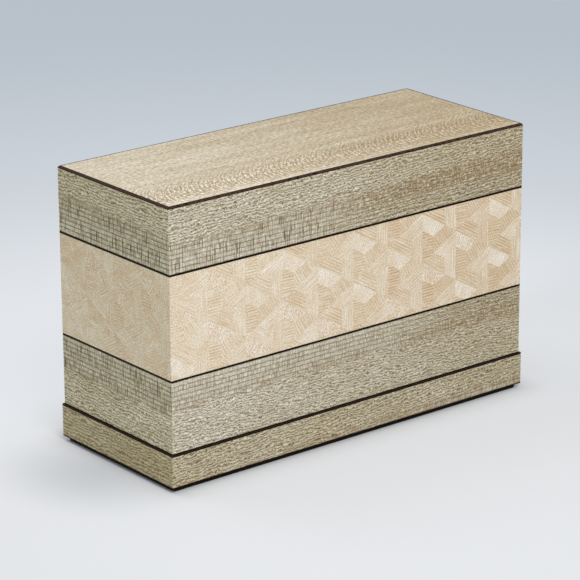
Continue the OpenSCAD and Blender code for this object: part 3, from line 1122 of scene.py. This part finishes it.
@dataclass
class Case(SubAssembly):
    """The fixed part: foot, plinth, lower band, deck, liner and compartment."""

    body: str = "case"
    plinth: Veneering = Veneering(
        (LACEWOOD_LOW, Figure((0.0, 0.9), (0.75, 1.0), (9.0, 15.0))),
        (LACEWOOD_SIDE, Figure((0.3, 0.3), (1.1, 1.0), (10.0, 10.0))),
    )
    plinth_figure_drop: float = 10.5 * MM
    lower_band: Veneering = Veneering(
        (LACEWOOD_BAND, Figure((1.2, 0.1), (-0.05, 0.9))),
        (LACEWOOD_SIDE, Figure((1.0, 1.0), (0.45, 0.3), (19.0, 19.0))),
    )

    def build(self) -> None:
        """Makes the case from the floor up."""
        self.build_plinth()
        self.build_lower_band()
        self.build_liner()

    def build_plinth(self) -> None:
        """Makes the foot, the base, the plinth boards and their dark edgings."""
        self.plain("foot_plate", DARK_WOOD, Axis.X, ease=0.4 * MM)
        self.plain("base_board", INNER_WOOD, Axis.X)
        self.ringed("base_edging")
        figure_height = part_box("plinth_front")[0].z - self.plinth_figure_drop
        for side in Side:
            self.veneered("plinth_" + side.word, side, self.plinth, figure_height)
        self.ringed("plinth_cap", ease=0.12 * MM)

    def build_lower_band(self) -> None:
        """Makes the three fixed walls around the drawer, its runners and the lower stringing."""
        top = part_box("lower_front_wall")[1].z
        for side in (Side.FRONT, Side.BACK, Side.LEFT):
            self.veneered(f"lower_{side.word}_wall", side, self.lower_band, top)
        self.plain("drawer_runners", DARK_WOOD, Axis.X, ease=0.1 * MM)
        self.plain("drawer_stop", INNER_WOOD, Axis.Y, ease=0.3 * MM)
        self.ringed("lower_stringing")

    def build_liner(self) -> None:
        """Makes the deck and axle, the liner, the compartment and the upper stringing."""
        self.plain("mechanism_deck", INNER_WOOD, Axis.X)
        self.plain("rotor_axle", BRASS, Axis.Z, ease=0.15 * MM)
        for side in Side:
            self.plain("liner_" + side.word, INNER_WOOD, side.grain, ease=0.35 * MM)
        self.plain("compartment_floor", INNER_WOOD, Axis.X)
        self.felted("compartment_lining")
        self.ringed("upper_stringing")


@dataclass(frozen=True)
class TileKind:
    """One of the six ways that a tile lies, with the painted sheen of its fibre direction at the left and
    right ends of a long side.
    """

    split: float
    upper: bool
    fibres_along_split: bool
    tones: Pair
    lined: float
    speckled: float

    @property
    def fibre_angle(self) -> float:
        """The angle of the fibres, in degrees from level."""
        return self.split + (0 if self.fibres_along_split else 90)


@dataclass
class TilePattern:
    """Hexagons split in two, in three directions, as they run around the parquetry band."""

    top: float
    tile_side: float = 9.62 * MM
    peak_drop: float = 0.9 * MM
    # On a short side the painted sheen differs far less between kinds and is shifted a little darker.
    short_side_contrast: float = 0.1
    short_side_tone: float = 0.06
    tone_spread: float = 0.02
    short_side_spread: float = 0.04
    line_strengths: Pair = (0.45, 1.15)
    short_line_strengths: Pair = (0.65, 0.75)
    line_rise: float = 1.5
    line_spread: Pair = (0.4, 1.2)
    speckled_share: float = 0.4
    stock_places: Pair = (1.0, 9.0)
    # Each kind's first pair is its painted sheen: the brown depth that its fibre direction gives it at the
    # left and right ends of a long side.
    kinds: tuple[TileKind, ...] = (
        TileKind(-30, True, True, (0.03, 0.15), 0.8, 0.15),
        TileKind(-30, False, False, (-0.045, -0.075), 0.3, 0.9),
        TileKind(30, True, False, (0.01, 0.17), 0.65, 0.3),
        TileKind(30, False, True, (-0.03, 0.03), 0.5, 0.1),
        TileKind(90, True, True, (0.02, 0.05), 0.45, 0.1),
        TileKind(90, False, False, (0.01, 0.18), 1.0, 0.2),
    )

    @property
    def column_width(self) -> float:
        """The distance from one column of peaks to the next."""
        return 3 * self.tile_side * math.cos(TILE_ANGLE)

    @property
    def row_height(self) -> float:
        """The distance from one peak to the next below it."""
        return 3 * self.tile_side

    def hexagon_centres(self) -> dict[float, Vector]:
        """Gives the three hexagons around a peak.

        Returns:
            The place of each one's middle from the peak, by the angle of its split.
        """
        level, upright = math.cos(TILE_ANGLE), math.sin(TILE_ANGLE)
        up = Vector((level, upright)) * self.tile_side
        down = Vector((level, -upright)) * self.tile_side
        return {-30: down, 30: -up, 90: 2 * (down - up)}

    def slip_places(self, side: Side, left: float, right: float) -> list[float]:
        """Gives the places of the small slips that fill the notches above the highest peaks.

        Args:
            side: The side.
            left: Where the panel starts along it.
            right: Where the panel ends.

        Returns:
            How far right each slip's middle is.
        """
        step = 2 * self.column_width / 3
        start = 0.0 if side.is_long else self.column_width
        numbers = range(math.ceil((left - start) / step), math.floor((right - start) / step) + 1)
        return [start + step * number for number in numbers]

    def kind_at(self, place: Vector, side: Side) -> TileKind:
        """Finds the kind of the tile at a place on a side.

        Args:
            place: How far right and how high the place is.
            side: The side.

        Returns:
            The tile's kind.
        """
        best: tuple[float, float, bool] | None = None
        for split, centre in self.hexagon_centres().items():
            local = place - centre - Vector((0, self.top - self.peak_drop))
            column = round(local.x / self.column_width)
            for near in (column - 1, column, column + 1):
                odd = (abs(near) + (0 if side.is_long else 1)) % 2
                offset = local - Vector((near * self.column_width, -odd / 2 * self.row_height))
                offset.y -= round(offset.y / self.row_height) * self.row_height
                turned = Matrix.Rotation(-math.radians(split), 2) @ offset
                if best is None or offset.length < best[0]:
                    best = (offset.length, split, turned.y > 0)
        return next(kind for kind in self.kinds if (kind.split, kind.upper) == best[1:])

    def look(self, kind: TileKind, side: Side, across: float, chance: random.Random) -> tuple[float, ...]:
        """Draws a tile's own look.

        Args:
            kind: The tile's kind.
            side: The side it is on.
            across: How far along the side it is, from 0 at the left to 1 at the right.
            chance: Where its own differences are drawn from.

        Returns:
            Its depth of brown around 0, made of a painted sheen and a random difference, how clear its growth
            lines and speckles are, and 1 on a short side.
        """
        # Painted sheen: on a long side the brown depth follows the kind's fibre direction and drifts from the
        # left end to the right; on a short side the kinds differ far less. The gauss spread adds the tile's
        # own random difference.
        if side.is_long:
            sheen_and_tone = kind.tones[0] + (kind.tones[1] - kind.tones[0]) * across
            spread, (faint, strong) = self.tone_spread, self.line_strengths
        else:
            sheen_and_tone = kind.tones[0] * self.short_side_contrast + self.short_side_tone
            spread, (faint, strong) = self.short_side_spread, self.short_line_strengths
        sheen_and_tone += chance.gauss(0, spread)
        line_strength = faint + (strong - faint) * min(1.0, self.line_rise * across)
        lined = kind.lined * chance.uniform(*self.line_spread) * line_strength
        speckled = kind.speckled if chance.random() < self.speckled_share else 0.0
        return sheen_and_tone, lined, speckled, float(not side.is_long)


@dataclass
class SlidingPanel(SubAssembly):
    """One parquetry panel with its core, runners, drive arm and latch magnets."""

    side: Side = Side.FRONT
    kerf_fill: float = 0.032 * MM
    tile_depth: float = 1.0 * MM
    slip_gap: float = 0.08 * MM
    trailing_strip: float = 4.5 * MM

    def build(self) -> None:
        """Makes the panel's five pieces."""
        name = self.body
        self.lay_tiles(name + "_parquetry")
        self.plain(name + "_core", INNER_WOOD, self.side.grain)
        self.plain(name + "_runners", INNER_WOOD, self.side.grain, ease=0.3 * MM)
        arm_axis = Axis.Y if self.side.is_long else Axis.X
        self.plain(name + "_drive_arm", INNER_WOOD, arm_axis, ease=0.3 * MM)
        self.plain(name + "_magnets", STEEL, Axis.Z, ease=0.2 * MM)

    def lay_tiles(self, node: str) -> None:
        """Makes the panel's tiles, each with its own fibres, painted sheen and random difference in colour.

        Args:
            node: The node that holds the tiles.
        """
        low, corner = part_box("upper_stringing")
        pattern = TilePattern(low.z)
        shape = Shape(node)
        grain = shape.mesh.loops.layers.uv.new(GRAIN_MAP)
        looks = shape.mesh.verts.layers.float_color.new(TILE_LAYER)
        self.add_slips(shape.mesh, pattern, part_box(node))
        for tile in islands(shape.mesh):
            centre = sum((vert.co for vert in tile), Vector()) / len(tile)
            side = max(Side, key=lambda way: centre.dot(way.outward) - corner.dot(abs_vector(way.outward)))
            self.fill_kerf(tile, side)
            place = Vector((centre.dot(side.rightward), centre.z))
            half = corner.dot(abs_vector(side.rightward))
            kind = pattern.kind_at(place, side)
            look = pattern.look(kind, side, (place.x + half) / (2 * half), shape.chance)
            start = Vector([shape.chance.uniform(*pattern.stock_places) for _ in range(2)])
            turn = Matrix.Rotation(-math.radians(kind.fibre_angle), 2)
            for vert in tile:
                vert[looks] = look
            for loop in {loop for vert in tile for loop in vert.link_loops}:
                flat = Vector((loop.vert.co.dot(side.rightward), loop.vert.co.z))
                loop[grain].uv = turn @ flat + start
        shape.cut_corners(corner.x, corner.y, self.corner_flat)
        self.keep(shape, TILES)

    def add_slips(self, mesh: BMesh, pattern: TilePattern, box: tuple[Vector, Vector]) -> None:
        """Adds the small three-sided slips that run along the top of the band.

        Args:
            mesh: The panel's tiles.
            pattern: The pattern.
            box: The lowest and highest corners of the panel's tiles.
        """
        low, high = box
        face = max(corner.dot(self.side.outward) for corner in box)
        ends = sorted(corner.dot(self.side.rightward) for corner in box)
        drop = high.z - (pattern.top - pattern.peak_drop)
        height = drop - self.slip_gap
        width = 2 * height / math.tan(TILE_ANGLE)
        for right in pattern.slip_places(self.side, ends[0] + drop, ends[1] - self.trailing_strip):
            made = bmesh.ops.create_cone(
                mesh, cap_ends=True, segments=3, radius1=1.0, radius2=1.0, depth=self.tile_depth
            )["verts"]
            bmesh.ops.rotate(mesh, verts=made, cent=(0, 0, 0), matrix=Matrix.Rotation(math.pi, 3, "Z"))
            places = [vert.co.copy() for vert in made]
            widest = max(place.x for place in places) - min(place.x for place in places)
            highest = max(place.y for place in places)
            tallest = highest - min(place.y for place in places)
            for vert, place in zip(made, places):
                rise = (place.y - highest) / tallest * height
                vert.co = self.side.rightward * (right + place.x / widest * width)
                vert.co += self.side.outward * (face - self.tile_depth / 2 + place.z)
                vert.co.z = high.z + rise

    def fill_kerf(self, tile: Sequence[BMVert], side: Side) -> None:
        """Grows a tile in its own plane, so that it meets its neighbours in a hairline.

        Args:
            tile: The tile's corners.
            side: The side it faces.
        """
        moves = []
        for vert in tile:
            move = vert.normal * vert.calc_shell_factor() * self.kerf_fill
            moves.append(move - move.project(side.outward))
        for vert, move in zip(tile, moves):
            vert.co += move


def abs_vector(vector: Vector) -> Vector:
    """Returns a vector with every part made positive."""
    return Vector([abs(part) for part in vector])


def islands(mesh: BMesh) -> list[list[BMVert]]:
    """Splits a mesh into its separate solids.

    Args:
        mesh: The mesh.

    Returns:
        The corners of each solid.
    """
    left, found = set(mesh.verts), []
    for start in mesh.verts:
        if start not in left:
            continue
        left.discard(start)
        solid = [start]
        for vert in solid:
            for edge in vert.link_edges:
                other = edge.other_vert(vert)
                if other in left:
                    left.discard(other)
                    solid.append(other)
        found.append(solid)
    return found


@dataclass
class Rotor(SubAssembly):
    """The disc and pins that make the four panels move as one."""

    body: str = "rotor"

    def build(self) -> None:
        """Makes the disc and its pins."""
        self.plain("rotor_disc", INNER_WOOD, Axis.X, ease=0.25 * MM)
        self.plain("rotor_pins", BRASS, Axis.Z, ease=0.2 * MM)


@dataclass
class Lid(SubAssembly):
    """The lift-off lid: four mitred walls, a board, a veneered top and a dark edging."""

    body: str = "lid"
    upper_band: Veneering = Veneering(
        (LACEWOOD, Figure((1.35, -0.5), (0.14, 1.1), (15.0, 21.0))),
        (LACEWOOD_SIDE, Figure((1.0, 1.0), (0.5, 0.4), (20.0, 20.0))),
    )
    top_figure: Figure = Figure((1.0, 1.0), (0.0, 1.0))

    def build(self) -> None:
        """Makes the lid from its walls up."""
        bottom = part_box("lid_front_wall")[0].z
        for side in Side:
            self.veneered(f"lid_{side.word}_wall", side, self.upper_band, bottom)
        self.plain("lid_board", INNER_WOOD, Axis.X)
        self.lay_top("lid_top_veneer")
        self.ringed("lid_edging", ease=0.1 * MM)
        self.plain("lid_magnets", STEEL, Axis.Z, ease=0.2 * MM)

    def lay_top(self, node: str) -> None:
        """Makes the top veneer, with its flecks along the front edge.

        Args:
            node: The node's name.
        """
        shape = Shape(node)
        shape.map_grain(GrainCut(Axis.X, tuple(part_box(node)[0])))
        shape.mark_figure(self.top_figure, Axis.X)
        self.keep(shape, LACEWOOD_TOP)


@dataclass
class Drawer(SubAssembly):
    """The hidden end drawer."""

    body: str = "drawer"

    def build(self) -> None:
        """Makes the drawer's front, box, lining and magnets."""
        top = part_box("lower_front_wall")[1].z
        self.veneered("drawer_front", Side.RIGHT, Case.lower_band, top, ease=0.12 * MM)
        self.plain("drawer_sides", INNER_WOOD, Axis.X, ease=0.4 * MM)
        self.plain("drawer_back", INNER_WOOD, Axis.Y, ease=0.4 * MM)
        self.plain("drawer_bottom", INNER_WOOD, Axis.X)
        self.felted("drawer_lining")
        self.plain("drawer_magnets", STEEL, Axis.Z, ease=0.2 * MM)


# ---------------------------------------------------------------- studio


@dataclass(frozen=True)
class Softbox:
    """A round, soft lamp: its place, width and power in watts."""

    name: str
    place: Point
    width: float
    power: float
    tint: Colour = (1.0, 0.985, 0.96)


@dataclass
class Studio:
    """A pale floor, soft light and the camera."""

    floor_colour: Colour = (0.80, 0.815, 0.84)
    near_glow: Colour = (0.83, 0.855, 0.89)
    far_glow: Colour = (0.48, 0.54, 0.61)
    near_fade: Pair = (0.19, 0.49)
    far_fade: Pair = (0.3, 0.92)
    glow_share: float = 0.5
    back_glow_share: float = 0.8
    back_reach: Pair = (0.04, 0.12)
    glow_reach: Pair = (-0.004, 0.022)
    # The painted shadow's middle on the floor, then its reach, depth and colour.
    pool: Pair = (-0.14, 0.0)
    pool_reach: Pair = (0.065, 0.075)
    pool_depth: float = 0.26
    pool_colour: Colour = (0.0, 0.035, 0.10)
    floor_radius: float = 12.0
    floor_segments: int = 96
    horizon: Colour = (0.50, 0.55, 0.60)
    sky: Colour = (0.96, 0.98, 1.0)
    sky_strength: float = 0.42
    key: Softbox = Softbox("key", (-0.4, -1.15, 1.1), 0.9, 15.0)
    fill: Softbox = Softbox("fill", (-0.35, 0.75, 1.2), 0.8, 3.5)
    target: Point = (-0.0038, 0.0008, 0.0748)
    distance: float = 1.7046
    azimuth: float = -38.81
    elevation: float = 18.87
    roll: float = -0.332
    lens_mm: float = 188.71
    sensor_mm: float = 36.0

    def build(self) -> None:
        """Makes the floor, the sky, the lamps and the camera."""
        self.lay_floor()
        self.light_sky()
        self.hang(self.key)
        self.hang(self.fill)
        self.aim_camera()

    def lay_floor(self) -> None:
        """Lays a wide floor of pale paper."""
        mesh = bmesh.new()
        bmesh.ops.create_circle(mesh, cap_ends=True, segments=self.floor_segments, radius=self.floor_radius)
        data = bpy.data.meshes.new("floor")
        mesh.to_mesh(data)
        mesh.free()
        data.materials.append(self.floor_paper())
        floor = linked(bpy.data.objects.new("floor", data))

    def floor_paper(self) -> Material:
        """Makes paper that glows for the camera and in reflections away from the box, glows more behind it,
        carries a painted shadow beside the box's left end and fades far off.

        Returns:
            The material.
        """
        made = bpy.data.materials.new("floor_paper")
        graph = Graph.emptied(made)
        spot = graph.value("TexCoord", output="Object")
        from_middle = spot.vector_math("LENGTH", output="Value")
        far = (from_middle.step(*self.near_fade) + from_middle.step(*self.far_fade)) * 0.5

        # Painted shadow: a soft blue-grey darkening beside the box's left end, mixed into the paper's colour
        # and its glow alike.
        reach_x, reach_y = self.pool_reach
        painted_shadow_middle = (self.pool[0] / reach_x, self.pool[1] / reach_y, 0.0)
        painted_shadow_place = spot.scaled((1 / reach_x, 1 / reach_y, 0.0))
        from_painted_shadow = painted_shadow_place.vector_math("DISTANCE", painted_shadow_middle, output="Value")
        pool = from_painted_shadow.step(1.0, 0.0) * self.pool_depth

        outside = spot.vector_math("ABSOLUTE").vector_math("SUBTRACT", self.footprint())
        gap = outside.vector_math("MAXIMUM", (0.0, 0.0, 0.0)).vector_math("LENGTH", output="Value")
        # Painted light: behind the box the glow's share rises, which washes out the box's shadow on the paper
        # there.
        behind = spot.parts()[1].step(*self.back_reach).span(self.glow_share, self.back_glow_share)
        lit = far.mix(self.near_glow, self.far_glow)
        graph.add("OutputMaterial", {0: graph.value("MixShader", {
            0: graph.seen_by("Camera", "Glossy") * gap.step(*self.glow_reach) * behind,
            1: graph.value("BsdfDiffuse", {"Color": pool.mix(self.floor_colour, self.pool_colour)}),
            2: graph.value("Emission", {"Color": pool.mix(lit, self.pool_colour)}),
        })})
        return made

    def footprint(self) -> Vector:
        """Returns half the length and width that the box stands on."""
        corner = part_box("foot_plate")[1]
        return Vector((corner.x, corner.y, 0))

    def light_sky(self) -> None:
        """Fills the room with soft light, and shows the camera and reflections a pale backdrop."""
        world = bpy.data.worlds.new("studio")
        bpy.context.scene.world = world
        graph = Graph.emptied(world)
        graph.add("OutputWorld", {0: graph.value("MixShader", {
            0: graph.seen_by("Camera", "Glossy", "Transmission"),
            1: graph.value("Background", {"Color": self.sky, "Strength": self.sky_strength}),
            2: graph.value("Background", {"Color": self.horizon}),
        })})

    def hang(self, softbox: Softbox) -> None:
        """Hangs a lamp and turns it to the box.

        Args:
            softbox: The lamp.
        """
        data = bpy.data.lights.new(softbox.name, "AREA")
        data.shape = "DISK"
        data.size = softbox.width
        data.energy = softbox.power
        data.color = softbox.tint
        lamp = linked(bpy.data.objects.new(softbox.name, data))
        lamp.location = softbox.place
        aim = Vector(self.target) - Vector(softbox.place)
        lamp.rotation_euler = aim.to_track_quat("-Z", "Y").to_euler()

    def aim_camera(self) -> None:
        """Sets the camera at its distance, azimuth and elevation from the target."""
        data = bpy.data.cameras.new("camera")
        data.lens = self.lens_mm
        data.sensor_width = self.sensor_mm
        data.clip_end = 4 * self.floor_radius
        camera = linked(bpy.data.objects.new("camera", data))
        turn = (
            Matrix.Rotation(math.radians(self.azimuth), 4, "Z")
            @ Matrix.Rotation(math.radians(90 - self.elevation), 4, "X")
            @ Matrix.Rotation(math.radians(self.roll), 4, "Z")
        )
        place = Vector(self.target) + turn.to_3x3() @ Vector((0, 0, self.distance))
        camera.matrix_world = Matrix.Translation(place) @ turn
        bpy.context.scene.camera = camera


def clear_scene() -> None:
    """Removes whatever the start-up file holds."""
    for thing in list(bpy.data.objects):
        bpy.data.objects.remove(thing)


def main() -> None:
    """Loads the frame, dresses every sub-assembly and lights the studio."""
    logging.basicConfig(level=logging.INFO, format="%(name)s: %(message)s")
    clear_scene()
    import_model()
    bpy.context.scene.view_settings.view_transform = "Standard"
    Studio().build()
    panels = [SlidingPanel(f"{side.word}_panel", side=side) for side in Side]
    for part in (Case(), *panels, Rotor(), Lid(), Drawer()):
        part.build()
        for piece in part.pieces:
            LOG.info("%s rides on %s", piece.name, part.body)


if __name__ == "__main__":
    main()
